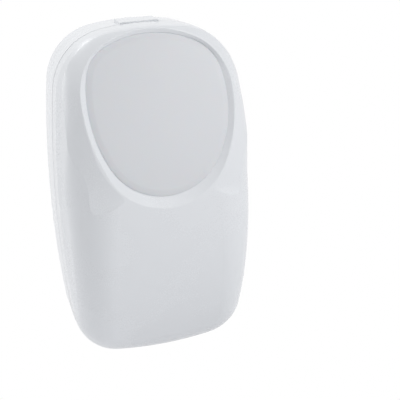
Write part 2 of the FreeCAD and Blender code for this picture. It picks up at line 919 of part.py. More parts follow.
# A lip inside the seam locates the cover; it stops short of the hook and the catch
lip_inset = d.shell_wall + d.lip_clearance
lip = cut(
    "seam_lip",
    fuse("lip_solid", [
        prism("lip_ring", body, lip_inset, d.seam_depth - d.lip_root, d.lip_root + d.lip_height),
        prism("lip_base", body, 1.2, d.seam_depth - d.lip_root, d.lip_root - d.seam_gap),
    ]),
    prism("lip_hollow", body, lip_inset + d.lip_wall, d.seam_depth - 2 * d.lip_root,
          3 * d.lip_root + d.lip_height),
    block("lip_hook_gap", 0.0, d.seam_depth - d.hook_reach - 1.0, 0.0,
          d.tongue_width + 2 * d.hook_clearance, 2 * d.hook_reach + d.lip_height,
          body_top - d.shell_wall),
    block("lip_catch_gap", 0.0, d.seam_depth - d.catch_reach - 1.0, -body_top + d.shell_wall,
          d.catch_width + 2 * d.hook_clearance, 2 * d.catch_reach + d.lip_height,
          body_top - d.shell_wall),
)
# The top edge is thickened outward where the hook sits, and recessed behind it
tab_front = d.seam_depth - d.seam_gap
tab = rounded(
    "hook_tab",
    block("tab_block", 0.0, tab_front - d.tab_length, body_top - d.shell_wall + 0.2,
          d.tab_width, d.tab_length, d.shell_wall - 0.2 + d.tab_rise),
    d.tab_rise * 0.9,
    lambda edge: middle(edge).z > float(body_top) + 0.1 and abs(middle(edge).x) > 1,
)
hook_recess = block(
    "hook_recess", 0.0, nose_depth - d.hook_clearance, hang - 3.0,
    d.tongue_width + 2 * d.hook_clearance,
    d.hook_reach - d.hook_land + d.hook_clearance - d.seam_gap + 0.2,
    3.0 + d.hook_rise + 0.4,
)
catch_slot = block(
    "catch_slot", 0.0, d.seam_depth - d.catch_reach - 0.6, -body_top - 1.0,
    d.catch_width - 5.0, 2.6, d.shell_wall + 2.0,
)
# Wall fixing holes in raised pads, and the cable opening
fixings = []
pads = []
for x, side in ((d.fixing_spacing / 2, "right"), (-d.fixing_spacing / 2, "left")):
    for z, level in ((d.fixing_height / 2, "upper"), (-d.fixing_height / 2, "lower")):
        at = f"{level}_{side}"
        pads.append(rod("pad_" + at, x, floor - 0.5, z, d.fixing_pad, d.fixing_pad_height + 0.5))
        fixings.append(rod("fixing_" + at, x, -1.0, z, d.fixing_hole, 10.0))
cable_entry = rounded(
    "cable_entry",
    block("cable_block", 0.0, -1.0, -d.cable_entry_drop - d.cable_entry_height / 2,
          d.cable_entry_width, floor + 2.0, d.cable_entry_height),
    2.5, lambda edge: abs(middle(edge).y + float(floor) / 2) < 0.8,
)
# Posts carry the circuit board
posts = []
post_bores = []
screw_places = [
    (x, z, f"{level}_{side}")
    for x, side in ((d.post_spacing / 2, "right"), (-d.post_spacing / 2, "left"))
    for z, level in ((d.post_top, "upper"), (-d.post_bottom, "lower"))
]
for x, z, at in screw_places:
    posts.append(rod("post_" + at, x, floor - 0.5, z, d.post_diameter,
                     d.board_depth - floor + 0.5))
    post_bores.append(rod("post_bore_" + at, x, floor + 1.0, z, d.screw_shank, d.board_depth))
back_shell = cut(
    "back_shell",
    fuse("shell_solid", [shell_tray, lip, tab] + pads + posts),
    hook_recess, catch_slot, cable_entry, *fixings, *post_bores,
)

# Circuit board
board = add("PartDesign::Body", "circuit_board")
board_sketch = new_sketch("board_outline", board, d.board_depth)
face = d.board_depth + d.board_thickness
corners = (
    (-d.board_width / 2, -d.board_bottom), (d.board_width / 2, -d.board_bottom),
    (d.board_width / 2, d.board_top), (-d.board_width / 2, d.board_top),
)
polygon(board_sketch, corners)
for x, z, _ in screw_places:
    circle(board_sketch, x, z, d.screw_hole)
board_pad = board.newObject("PartDesign::Pad", "board_pad")
board_pad.Profile = board_sketch
bind(board_pad, Length=d.board_thickness)
doc.recompute()
board_round = board.newObject("PartDesign::Fillet", "board_corners")
board_round.Base = (board_pad, [
    f"Edge{number}" for number, edge in enumerate(board_pad.Shape.Edges, start=1)
    if abs(abs(middle(edge).x) - float(d.board_width) / 2) < 0.01
    and abs(middle(edge).y + float(d.board_depth + d.board_thickness / 2)) < 0.01
])
bind(board_round, Radius=d.board_corner)
board.Tip = board_round

screws = []
for x, z, at in screw_places:
    head = cut(
        "screw_head_" + at, rod("head_" + at, x, face, z, d.screw_head, d.screw_head_height),
        block("drive_a_" + at, x, face + d.screw_head_height - 1.0, z - 0.4,
              d.screw_head * 0.7, 2.0, 0.8),
        block("drive_b_" + at, x, face + d.screw_head_height - 1.0, z - d.screw_head * 0.35,
              0.8, 2.0, d.screw_head * 0.7),
    )
    shank = rod("shank_" + at, x, face - d.screw_length - d.board_thickness, z,
                d.screw_shank, d.screw_length + d.board_thickness + 0.2)
    screws.append(fuse("screw_" + at, [head, shank]))
board_screws = group("board_screws", screws)

# Optic frame: two cheeks, a shelf for the sensor and two cross rails
mirror_half = d.facet_width * 2.5
cheek_points = (
    (face, d.shelf_bottom), (d.cheek_front - 4.0, d.shelf_bottom),
    (d.cheek_front, d.shelf_bottom + 7.0), (d.cheek_front, d.cheek_top - 15.0),
    (d.cheek_front - 8.0, d.cheek_top), (face, d.cheek_top),
)
frame_parts = []
for hand, side in ((1, "right"), (-1, "left")):
    sketch = add("Sketcher::SketchObject", "cheek_outline_" + side)
    start = mirror_half if hand > 0 else -(mirror_half + d.cheek_thickness)
    place(sketch, start, 0.0, 0.0, FreeCAD.Rotation(V(0, 0, 1), -90).multiply(FORWARD))
    polygon(sketch, cheek_points)
    frame_parts.append(extrusion("cheek_" + side, sketch, -d.cheek_thickness))

shelf = block("sensor_shelf", 0.0, face, d.shelf_bottom, 2 * mirror_half,
              d.cheek_front - 5.0 - face, d.shelf_thickness)
rail_low = block("rail_low", 0.0, face, d.mirror_low - 7.0, 2 * mirror_half, 1.6, 4.0)
rail_high = block("rail_high", 0.0, face, d.cheek_top - 4.0, 2 * mirror_half, 1.6, 4.0)
optic_frame = fuse("optic_frame", frame_parts + [shelf, rail_low, rail_high])

# Mirror optic: rows of spherical facets that all look down at the sensor
focus = V(0, -float(d.focus_depth), float(d.focus_height))


def facet(column, low, height, depth, dip):
    """One facet: a piece of a thick spherical shell whose focus is the sensor."""
    wide, wall, reach = float(d.facet_width), float(d.mirror_wall), float(d.facet_reach)
    centre = V(column * wide, -depth, low + height / 2)
    spread = column * float(d.facet_spread) * DEG
    outward = V(math.sin(spread) * math.cos(dip), -math.cos(spread) * math.cos(dip),
                -math.sin(dip))
    inward = (focus - centre).normalize()
    normal = (outward + inward).normalize()
    radius = 2 * (focus - centre).Length
    cell = Part.makeBox(wide, 2 * reach, height, V(centre.x - wide / 2, -depth - reach, low))
    ball = Part.makeSphere(radius, centre + normal * radius)
    shell = Part.makeSphere(radius + wall, centre + normal * radius).cut(ball)
    return shell.common(cell)


def mirror_shape():
    """Three rows of facets, each row joined to the next by a flat riser."""
    rows = (
        (d.mirror_low_height, d.mirror_low_depth, 14.0),
        (d.mirror_mid_height, d.mirror_mid_depth, 7.0),
        (d.mirror_high_height, d.mirror_high_depth, 3.0),
    )
    low = float(d.mirror_low)
    half, riser, wall = float(mirror_half), float(d.mirror_riser), float(d.mirror_wall)
    solids, fronts = [], []
    for height, depth, dip in rows:
        facets = [
            facet(column, low, float(height), float(depth), dip * DEG)
            for column in range(-2, 3)
        ]
        back = max(piece.BoundBox.YMax for piece in facets)
        if fronts:
            step = fronts[-1] + wall
            solids.append(Part.makeBox(2 * half, back - step, riser, V(-half, step, low - riser / 2)))
        solids += facets
        fronts.append(min(piece.BoundBox.YMin for piece in facets))
        low += float(height)
    return solids[0].multiFuse(solids[1:]).removeSplitter()


mirror_optic = shape_object("mirror_optic", mirror_shape())

# Sensor on its own small board, lying on the shelf
shelf_top = d.shelf_bottom + d.shelf_thickness
sensor_board = block("sensor_board", 0.0, face + 0.4, shelf_top, d.shelf_width,
                     d.shelf_length, d.sensor_board_thickness)
sensor_seat = shelf_top + d.sensor_board_thickness + d.sensor_standoff
pyro_base = fuse("pyro_base", [
    pillar("sensor_flange", 0.0, d.focus_depth, sensor_seat, d.sensor_flange,
           d.sensor_flange_thickness),
    fuse("sensor_legs", [
        pillar(f"sensor_leg_{number}", 2.54 * math.cos(turn), d.focus_depth + 2.54 * math.sin(turn),
               shelf_top + d.sensor_board_thickness, 0.5, d.sensor_standoff + 0.1)
        for number, turn in enumerate((0.0, math.pi / 2, math.pi))
    ]),
])
can_seat = sensor_seat + d.sensor_flange_thickness
pyro_can = cut(
    "pyro_can",
    pillar("can_outside", 0.0, d.focus_depth, can_seat, d.sensor_can, d.sensor_can_height),
    pillar("can_inside", 0.0, d.focus_depth, can_seat - 0.1,
           d.sensor_can - 2 * d.sensor_can_wall,
           d.sensor_can_height - d.sensor_can_wall + 0.1),
    block("can_window", 0.0, d.focus_depth - d.filter_width / 2 - 0.05, can_seat,
          d.filter_length + 0.1, d.filter_width + 0.1, d.sensor_can_height + 1.0),
)
pyro_filter = block(
    "pyro_filter", 0.0, d.focus_depth - d.filter_width / 2,
    can_seat + d.sensor_can_height - d.filter_thickness - 0.1,
    d.filter_length, d.filter_width, d.filter_thickness,
)
link_level = shelf_top + d.sensor_board_thickness
link_body = block("link_body", 0.0, face + 1.5, link_level, 3 * d.header_pitch,
                  d.header_body, d.header_body)
link_pins = []
for number in range(3):
    x = (number - 1) * d.header_pitch
    link_pins.append(block(f"link_pin_{number}", x, face, link_level + d.header_body / 2 - 0.32,
                           d.header_pin, 1.5, d.header_pin))
link_header = fuse("link_header", [link_body] + link_pins)

# Terminal block with one screw and one clamp to each way
ways = 8
block_width = ways * d.terminal_pitch
terminal_floor = -d.terminal_bottom
terminal = add("PartDesign::Body", "terminal_block")
terminal_sketch = new_sketch("terminal_outline", terminal, face)
polygon(terminal_sketch, (
    (-block_width / 2, terminal_floor), (block_width / 2, terminal_floor),
    (block_width / 2, terminal_floor + d.terminal_width),
    (-block_width / 2, terminal_floor + d.terminal_width),
))
terminal_pad = terminal.newObject("PartDesign::Pad", "terminal_pad")
terminal_pad.Profile = terminal_sketch
bind(terminal_pad, Length=d.terminal_height)
doc.recompute()
first_way = -block_width / 2 + d.terminal_pitch / 2
screw_level = terminal_floor + d.terminal_width * 0.55
bore_sketch = new_sketch("terminal_bore_outline", terminal, face + d.terminal_height)
circle(bore_sketch, first_way, screw_level, d.terminal_screw_hole)
bore = terminal.newObject("PartDesign::Pocket", "terminal_bore")
bore.Profile = bore_sketch
bind(bore, Length=d.terminal_height - 1.5)
mouth_sketch = new_sketch("terminal_mouth_outline", terminal, -terminal_floor, role="XY_Plane")
mouth_start = face + 1.6
polygon(mouth_sketch, (
    (first_way - d.terminal_mouth / 2, -mouth_start - d.terminal_mouth_height),
    (first_way + d.terminal_mouth / 2, -mouth_start - d.terminal_mouth_height),
    (first_way + d.terminal_mouth / 2, -mouth_start),
    (first_way - d.terminal_mouth / 2, -mouth_start),
))
mouth_sketch.AttachmentOffset = FreeCAD.Placement(
    V(0, 0, number_of(terminal_floor)), FreeCAD.Rotation()
)
mouth_sketch.setExpression("AttachmentOffset.Base.z", terminal_floor.text)
mouth = terminal.newObject("PartDesign::Pocket", "terminal_mouth_pocket")
mouth.Profile = mouth_sketch
mouth.Reversed = True
bind(mouth, Length=d.terminal_width - 1.2)
ways_pattern = terminal.newObject("PartDesign::LinearPattern", "terminal_ways")
ways_pattern.Originals = [bore, mouth]
ways_pattern.Direction = (
    [item for item in terminal.Origin.OriginFeatures if item.Role == "X_Axis"][0], [""]
)
ways_pattern.Occurrences = ways
bind(ways_pattern, Length=(ways - 1) * d.terminal_pitch)
terminal.Tip = ways_pattern

terminal_screw_list = []
terminal_clamp_list = []
clamp_depth = mouth_start + 0.2
for number in range(ways):
    x = first_way + number * d.terminal_pitch
    top = face + d.terminal_height - d.terminal_screw_sink
    clamp_top = mouth_start + d.terminal_mouth_height - 0.2
    terminal_screw_list.append(cut(
        f"terminal_screw_{number}",
        rod(f"terminal_screw_body_{number}", x, clamp_top, screw_level, d.terminal_screw,
            top - clamp_top),
        block(f"terminal_slot_{number}", x, top - d.screw_slot_depth,
              screw_level - d.screw_slot_width / 2, d.terminal_screw + 1.0,
              2 * d.screw_slot_depth, d.screw_slot_width),
    ))
    terminal_clamp_list.append(cut(
        f"terminal_clamp_{number}",
        block(f"clamp_body_{number}", x, clamp_depth, screw_level - d.clamp_height / 2,
              d.terminal_mouth - 0.5, clamp_top - clamp_depth, d.clamp_height),
        block(f"clamp_opening_{number}", x, clamp_depth + d.clamp_edge,
              screw_level - d.clamp_height / 2 - d.clamp_edge, d.terminal_mouth - 1.7,
              clamp_top - clamp_depth - 1.4, d.clamp_height + 2 * d.clamp_edge),
    ))
terminal_screws = group("terminal_screws", terminal_screw_list)
terminal_clamps = group("terminal_clamps", terminal_clamp_list)

# Relay, capacitors, crystal
relay = rounded(
    "relay",
    block("relay_case", d.relay_x, face, d.relay_z - d.relay_width / 2, d.relay_length,
          d.relay_height, d.relay_width),
    0.6, lambda edge: middle(edge).y < -float(face) - 1,
)
capacitor_list = []
for number in range(2):
    x = d.capacitor_x + (number - 0.5) * d.capacitor_pitch
    can = rounded(
        f"capacitor_{number}",
        rod(f"capacitor_can_{number}", x, face, d.capacitor_z, d.capacitor_diameter,
            d.capacitor_height),
        0.6, lambda edge: middle(edge).y < -float(face) - 1 and len(edge.Vertexes) == 1,
    )
    capacitor_list.append(can)
capacitors = group("capacitors", capacitor_list)
crystal = rounded(
    "crystal",
    block("crystal_case", d.crystal_x, face, d.crystal_z - d.crystal_width / 2,
          d.crystal_length, d.crystal_height, d.crystal_width),
    1.9, lambda edge: abs(middle(edge).y + float(face) + float(d.crystal_height) / 2) < 0.1,
)


def chip(name, x, z, width, height, thickness, sides, count):
    """A chip package with gull-wing leads along its sides."""
    body_part = block(name + "_body", x, face + 0.1, z - height / 2, width, thickness, height)
    leads = []
    for side in sides:
        upright = side in ("top", "bottom")
        hand = 1 if side in ("top", "right") else -1
        edge = (height if upright else width) / 2
        for number in range(count):
            along = (number - (count - 1) / 2) * d.lead_pitch
            label = f"{name}_lead_{side}_{number}"
            reach = d.lead_reach + 0.2
            middle_at = hand * (edge - 0.2 + reach / 2)
            at_x, at_z = (x + along, z + middle_at) if upright else (x + middle_at, z + along)
            across, up = (d.lead_width, reach) if upright else (reach, d.lead_width)
            leads.append(block(label, at_x, face, at_z - up / 2, across, d.lead_rise, up))
    return fuse(name, [body_part] + leads)


controller_chip = chip(
    "controller_chip", d.controller_x, d.controller_z, d.controller_side, d.controller_side,
    d.controller_height, ("top", "bottom", "left", "right"), 7,
)
amplifier_chip = chip(
    "amplifier_chip", d.amplifier_x, d.amplifier_z, d.amplifier_length, d.amplifier_width,
    d.amplifier_height, ("top", "bottom"), 6,
)
chip_list = [
    block(f"chip_resistor_{number}", d.chip_x + number * d.chip_pitch, face, d.chip_z,
          d.chip_length, d.chip_height, d.chip_width)
    for number in range(6)
]
chip_resistors = group("chip_resistors", chip_list)

# Jumper header with two of its three places bridged
jumper_parts = [block("jumper_base", d.jumper_x, face, d.jumper_z - d.header_pitch,
                      3 * d.header_pitch, d.header_body, 2 * d.header_pitch)]
for column in range(3):
    for row in range(2):
        jumper_parts.append(block(
            f"jumper_pin_{column}_{row}", d.jumper_x + (column - 1) * d.header_pitch,
            face + d.header_body - 0.2, d.jumper_z + (row - 0.5) * d.header_pitch - 0.32,
            d.header_pin, d.jumper_pin_height - d.header_body, d.header_pin,
        ))
jumper_header = fuse("jumper_header", jumper_parts)
cap_list = []
for column in (0, 2):
    x = d.jumper_x + (column - 1) * d.header_pitch
    cap_list.append(cut(
        f"jumper_cap_{column}",
        block(f"jumper_cap_body_{column}", x, face + d.header_body, d.jumper_z - d.header_pitch,
              d.header_pitch - 0.14, d.jumper_cap_height, 2 * d.header_pitch),
        *[block(f"jumper_cap_hole_{column}_{row}", x, face,
                d.jumper_z + (row - 0.5) * d.header_pitch - 0.34,
                d.header_pin + 0.04, d.header_body + d.jumper_cap_height + 1.0, 0.68)
          for row in range(2)],
    ))
jumper_links = group("jumper_links", cap_list)

# Indicator lamp inside the foot of its light guide
lamp = fuse("lamp", [
    rod("lamp_body", d.lamp_x, face, d.lamp_z, d.lamp_diameter, d.lamp_height),
    rod("lamp_rim", d.lamp_x, face, d.lamp_z, d.lamp_diameter + 0.6, 0.8),
])
guide_hollow = d.lamp_diameter + 0.6 + 2 * d.guide_gap
light_guide = cut(
    "light_guide",
    fuse("guide_solid", [
        rod("guide_foot", d.lamp_x, face, d.lamp_z, guide_hollow + 1.4, d.guide_foot_height),
        rod("guide_rod", d.lamp_x, face + d.guide_foot_height - 0.5, d.lamp_z, d.guide_diameter,
            d.belly_depth - d.guide_end_drop - face - d.guide_foot_height + 0.5),
    ]),
    rod("guide_cup", d.lamp_x, face - 1.0, d.lamp_z, guide_hollow,
        d.lamp_height + d.guide_gap + 1.0),
)

# Tamper switch and its plunger, which follows the cover as it opens
switch_front = face + d.tamper_height
cap_thickness = 1.2
plunger_collar = d.plunger_diameter + 1.2
tamper_switch = cut(
    "tamper_switch",
    block("switch_case", d.tamper_x, face, d.tamper_z - d.tamper_side / 2, d.tamper_side,
          d.tamper_height, d.tamper_side),
    rod("switch_hollow", d.tamper_x, face + 1.2, d.tamper_z,
        plunger_collar + 2 * d.plunger_clearance, d.tamper_height - 1.2 - cap_thickness),
    rod("switch_bore", d.tamper_x, face + 1.2, d.tamper_z,
        d.plunger_diameter + 2 * d.plunger_clearance, d.tamper_height),
)
collar_depth = switch_front - cap_thickness - d.plunger_travel - 0.4 - 1.0
tamper_plunger = fuse("tamper_plunger", [
    rod("plunger_stem", d.tamper_x, collar_depth - 0.6, d.tamper_z, d.plunger_diameter,
        d.plunger_tip_depth - collar_depth + 0.6),
    rod("plunger_collar", d.tamper_x, collar_depth, d.tamper_z, plunger_collar, 1.0),
])

# Check every object, then write each piece under its own name
doc.recompute()
pieces = {
    "back_shell": back_shell,
    "front_cover": front_cover,
    "window": window,
    "mirror_optic": mirror_optic,
    "optic_frame": optic_frame,
    "sensor_board": sensor_board,
    "pyro_base": pyro_base,
    "pyro_can": pyro_can,
    "pyro_filter": pyro_filter,
    "link_header": link_header,
    "circuit_board": board,
    "board_screws": board_screws,
    "terminal_block": terminal,
    "terminal_screws": terminal_screws,
    "terminal_clamps": terminal_clamps,
    "relay": relay,
    "capacitors": capacitors,
    "controller_chip": controller_chip,
    "amplifier_chip": amplifier_chip,
    "chip_resistors": chip_resistors,
    "crystal": crystal,
    "jumper_header": jumper_header,
    "jumper_links": jumper_links,
    "lamp": lamp,
    "light_guide": light_guide,
    "tamper_switch": tamper_switch,
    "tamper_plunger": tamper_plunger,
}
for item in doc.Objects:
    if "Invalid" in item.State or "Error" in item.State:
        raise RuntimeError(f"{item.Name} failed to compute: {item.State}")
os.makedirs("parts", exist_ok=True)
for name, item in pieces.items():
    shape = item.Shape
    if shape.isNull() or not shape.isValid():
        raise RuntimeError(f"{name} has no valid shape")
    item.Label = name
    shape.exportStep(f"parts/{name}.step")
    box = shape.BoundBox
    print(f"{name}: {len(shape.Solids)} solid(s), {shape.Volume:.0f} mm3, depth "
          f"{-box.YMax:.1f} to {-box.YMin:.1f}, z {box.ZMin:.1f} to {box.ZMax:.1f}")
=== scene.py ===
"""Finishes and setting of a wall-mounted motion detector, laid out as an add-on."""
import math
from functools import reduce

import bmesh
import bpy
import numpy as np
from bpy.props import FloatProperty, FloatVectorProperty, PointerProperty
from mathutils import Matrix, Vector


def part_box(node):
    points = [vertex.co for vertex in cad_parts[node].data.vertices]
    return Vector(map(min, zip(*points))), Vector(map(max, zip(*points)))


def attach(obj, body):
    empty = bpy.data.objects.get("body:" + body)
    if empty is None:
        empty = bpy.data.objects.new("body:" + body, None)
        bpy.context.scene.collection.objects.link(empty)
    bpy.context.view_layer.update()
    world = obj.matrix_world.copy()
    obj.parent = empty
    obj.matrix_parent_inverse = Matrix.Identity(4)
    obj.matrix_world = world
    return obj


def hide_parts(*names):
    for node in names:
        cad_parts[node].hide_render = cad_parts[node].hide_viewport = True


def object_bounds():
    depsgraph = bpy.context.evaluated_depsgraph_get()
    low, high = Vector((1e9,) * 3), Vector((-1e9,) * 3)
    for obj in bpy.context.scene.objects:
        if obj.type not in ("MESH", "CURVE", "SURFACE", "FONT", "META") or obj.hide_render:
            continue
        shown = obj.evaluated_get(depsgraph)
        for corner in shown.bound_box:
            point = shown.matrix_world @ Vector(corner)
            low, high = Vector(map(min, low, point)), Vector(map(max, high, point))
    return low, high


bl_info = {
    "name": "Motion Detector",
    "version": (1, 0, 0),
    "blender": (4, 5, 0),
    "location": "View3D > Sidebar > Detector",
    "description": "Finishes, camera and setting of a wall-mounted motion detector",
    "category": "Object",
}

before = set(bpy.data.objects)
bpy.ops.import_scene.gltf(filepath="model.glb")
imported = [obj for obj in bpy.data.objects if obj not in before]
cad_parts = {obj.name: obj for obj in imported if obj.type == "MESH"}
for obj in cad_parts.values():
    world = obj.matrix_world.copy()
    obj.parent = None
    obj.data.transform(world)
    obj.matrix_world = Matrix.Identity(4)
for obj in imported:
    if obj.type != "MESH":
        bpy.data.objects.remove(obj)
cad_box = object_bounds()


# Shader building

class Signal:
    """What comes out of a shader node; a number takes part in Python sums."""

    def __init__(self, network, socket):
        self.network = network
        self.socket = socket

    def _sum(self, operation, *values):
        return self.network.node("ShaderNodeMath", {"operation": operation}, values)

    def __add__(self, other):
        return self._sum("ADD", self, other)

    def __sub__(self, other):
        return self._sum("SUBTRACT", self, other)

    def __mul__(self, other):
        return self._sum("MULTIPLY", self, other)

    def __truediv__(self, other):
        return self._sum("DIVIDE", self, other)

    def __radd__(self, other):
        return self._sum("ADD", other, self)

    def __rsub__(self, other):
        return self._sum("SUBTRACT", other, self)

    def __rmul__(self, other):
        return self._sum("MULTIPLY", other, self)

    def __mod__(self, other):
        return self._sum("MODULO", self, other)

    def above(self, limit):
        return self._sum("GREATER_THAN", self, limit)

    def below(self, limit):
        return self._sum("LESS_THAN", self, limit)

    def larger(self, other):
        return self._sum("MAXIMUM", self, other)

    def smaller(self, other):
        return self._sum("MINIMUM", self, other)

    def across(self, other):
        """The length of the diagonal over two sides."""
        return self._sum("SQRT", self * self + other * other)

    def clamped(self):
        return self.larger(0.0).smaller(1.0)

    def absolute(self):
        return self._sum("ABSOLUTE", self)


class Network:
    """The nodes of a material or of the world."""

    def __init__(self, owner):
        owner.use_nodes = True
        self.owner = owner
        self.tree = owner.node_tree
        self.tree.nodes.clear()

    def set(self, node, values):
        """Give sockets their values or links, by name, or by number in a list."""
        pairs = values.items() if isinstance(values, dict) else enumerate(values)
        for key, value in pairs:
            socket = node.inputs[key.replace("_", " ") if isinstance(key, str) else key]
            if isinstance(value, Signal):
                self.tree.links.new(value.socket, socket)
            else:
                socket.default_value = value

    def node(self, kind, settings=None, values=(), output=0):
        """Any node: its settings first, then the values or links of its sockets."""
        made = self.tree.nodes.new(kind)
        for key, value in (settings or {}).items():
            setattr(made, key, value)
        self.set(made, values)
        if isinstance(output, tuple):
            return [Signal(self, made.outputs[name]) for name in output]
        return Signal(self, made.outputs[output])


class Finish(Network):
    """A material, the constants of its shader and the nodes that vary its surface."""

    def __init__(self, name, **constants):
        super().__init__(bpy.data.materials.new(name))
        self.constants = constants

    def place(self):
        """The point on the object, in its own metres."""
        return self.node("ShaderNodeTexCoord", output="Object")

    def places(self):
        """How far the point is to the right, behind the wall's face and up."""
        return self.node(
            "ShaderNodeSeparateXYZ", {}, {"Vector": self.place()}, output=("X", "Y", "Z")
        )

    def noise(self, scale, detail=3.0, at=None):
        return self.node(
            "ShaderNodeTexNoise", {},
            {"Vector": at or self.place(), "Scale": scale, "Detail": detail},
        )

    def blend(self, factor, first, second):
        """A colour between two, by a factor."""
        return self.node(
            "ShaderNodeMix", {"data_type": "RGBA"}, {0: factor, 6: first, 7: second}, output=2
        )

    def bump(self, height, distance, strength=1.0, **more):
        values = {"Height": height, "Distance": distance, "Strength": strength}
        return self.node("ShaderNodeBump", {}, {**values, **more})

    def soft_edges(self, radius):
        """The normal, rounded over the edges of a hard-edged moulding."""
        return self.node("ShaderNodeBevel", {"samples": 8}, {"Radius": radius})

    def surface(self, **links):
        """The material, once its shader has its constants and links."""
        shader = self.node("ShaderNodeBsdfPrincipled", {}, {**self.constants, **links})
        self.node("ShaderNodeOutputMaterial", {}, {"Surface": shader}, output=())
        return self.owner


def rgb(values):
    """A colour as shaders take it, fully opaque."""
    return (*values, 1.0)


def shade(colour, by):
    """A colour made lighter or darker."""
    return tuple(channel * by for channel in colour)


def dress(node, material):
    """Give a piece of the model its finish."""
    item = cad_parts[node]
    if not item.material_slots:
        item.data.materials.append(material)
    for slot in item.material_slots:
        slot.material = material
    return item


# Sizes and colours that a user would change

class HousingSettings(bpy.types.PropertyGroup):
    colour: FloatVectorProperty(
        name="Colour", description="Colour of the moulded housing", subtype="COLOR",
        size=3, min=0.0, max=1.0, default=(0.785, 0.80, 0.825),
    )
    gloss: FloatProperty(
        name="Roughness", description="Roughness of the polished plastic",
        min=0.0, max=1.0, default=0.26, subtype="FACTOR",
    )
    edge: FloatProperty(
        name="Edge radius", description="Radius that softens the moulded edges",
        min=0.0, max=0.005, default=0.0007, unit="LENGTH",
    )


class WindowSettings(bpy.types.PropertyGroup):
    colour: FloatVectorProperty(
        name="Colour", description="Colour of the infrared window", subtype="COLOR",
        size=3, min=0.0, max=1.0, default=(0.70, 0.71, 0.735),
    )
    gloss: FloatProperty(
        name="Roughness", description="Roughness of the matt window",
        min=0.0, max=1.0, default=0.5, subtype="FACTOR",
    )
    shoulder: FloatProperty(
        name="Shoulder width", description="Width over which the window turns down to its groove",
        min=0.0005, max=0.006, default=0.0026, unit="LENGTH",
    )
    fall: FloatProperty(
        name="Shoulder fall", description="Depth that the window loses over its shoulder",
        min=0.0, max=0.003, default=0.0006, unit="LENGTH",
    )
    raised: FloatProperty(
        name="Raised", description="How far the front stands out of the collar's groove",
        min=0.0, max=0.001, default=0.0002, unit="LENGTH",
    )
    stand_out: FloatProperty(
        name="Overhang", description="How far the shoulder stands out over the skirt",
        min=0.0, max=0.0006, default=0.0004, unit="LENGTH",
    )


class InsideSettings(bpy.types.PropertyGroup):
    board: FloatVectorProperty(
        name="Board colour", description="Colour of the solder mask", subtype="COLOR",
        size=3, min=0.0, max=1.0, default=(0.012, 0.115, 0.045),
    )
    terminals: FloatVectorProperty(
        name="Terminal colour", description="Colour of the terminal block", subtype="COLOR",
        size=3, min=0.0, max=1.0, default=(0.02, 0.20, 0.06),
    )


class StageSettings(bpy.types.PropertyGroup):
    key: FloatProperty(
        name="Key light", description="Power of the lamp high on the right",
        min=0.0, default=2.6, unit="POWER",
    )
    front: FloatProperty(
        name="Front light", description="Power of the low lamp before the detector",
        min=0.0, default=1.25, unit="POWER",
    )
    side: FloatProperty(
        name="Side light", description="Power of the low lamp on the left",
        min=0.0, default=1.8, unit="POWER",
    )
    rim: FloatProperty(
        name="Rim light", description="Power of the lamp high behind the detector",
        min=0.0, default=2.7, unit="POWER",
    )
    surround: FloatProperty(
        name="Surround", description="Strength of the even light from all round",
        min=0.0, default=0.44,
    )


# Finishes

def moulded_white(name, colour, roughness, edge):
    """Glossy moulded plastic, with a faint flow in its colour and a little orange peel."""
    finish = Finish(name, IOR=1.5, Coat_Weight=0.0)
    flow = finish.noise(18.0, 4.0)
    peel = finish.noise(420.0, 2.0)
    fine = finish.noise(2600.0, 2.0)
    return finish.surface(
        Base_Color=finish.blend(flow, rgb(shade(colour, 0.985)), rgb(shade(colour, 1.012))),
        Roughness=roughness - 0.02 + 0.05 * flow + 0.02 * fine,
        Normal=finish.bump(peel, 0.00002, 0.35, Normal=finish.soft_edges(edge)),
    )


def matt_window(name, colour, roughness):
    """Thin polyethylene: matt, slightly waxy, with a fine spark-eroded grain."""
    finish = Finish(name, IOR=1.5, Subsurface_Weight=0.08, Subsurface_Scale=0.0015)
    flow = finish.noise(22.0, 3.0)
    grain = finish.noise(3200.0, 2.0)
    return finish.surface(
        Base_Color=finish.blend(flow, rgb(shade(colour, 0.99)), rgb(shade(colour, 1.01))),
        Roughness=roughness + 0.05 * grain,
        Normal=finish.bump(grain, 0.00003, 0.5),
    )


def mirror_plate(name):
    """Vacuum-plated plastic: bright, with faint haze and flow lines."""
    finish = Finish(name, Metallic=1.0)
    haze = finish.noise(60.0, 4.0)
    return finish.surface(
        Base_Color=finish.blend(haze, rgb((0.82, 0.82, 0.84)), rgb((0.90, 0.90, 0.91))),
        Roughness=0.05 + 0.07 * haze,
        Normal=finish.bump(haze, 0.00005, 0.3),
    )


def plain_plastic(name, colour, roughness=0.45):
    """Moulded plastic of one colour, with an eroded grain and rubbed patches."""
    finish = Finish(name, IOR=1.5)
    patch = finish.noise(70.0, 3.0)
    grain = finish.noise(1500.0, 2.0)
    return finish.surface(
        Base_Color=finish.blend(patch, rgb(shade(colour, 0.86)), rgb(shade(colour, 1.14))),
        Roughness=roughness - 0.06 + 0.12 * patch + 0.05 * grain,
        Normal=finish.bump(grain, 0.00004, 0.5),
    )


def metal(name, colour, roughness=0.3):
    """Plated or drawn metal with fine lines and darker spots."""
    finish = Finish(name, Metallic=1.0)
    stretched = finish.node(
        "ShaderNodeMapping", {}, {"Vector": finish.place(), "Scale": (400.0, 4000.0, 400.0)}
    )
    lines = finish.noise(1.0, 3.0, at=stretched)
    spots = finish.noise(240.0, 4.0)
    return finish.surface(
        Base_Color=finish.blend(spots, rgb(shade(colour, 0.82)), rgb(shade(colour, 1.05))),
        Roughness=roughness - 0.08 + 0.16 * lines + 0.06 * spots,
        Normal=finish.bump(lines, 0.00002, 0.5),
    )


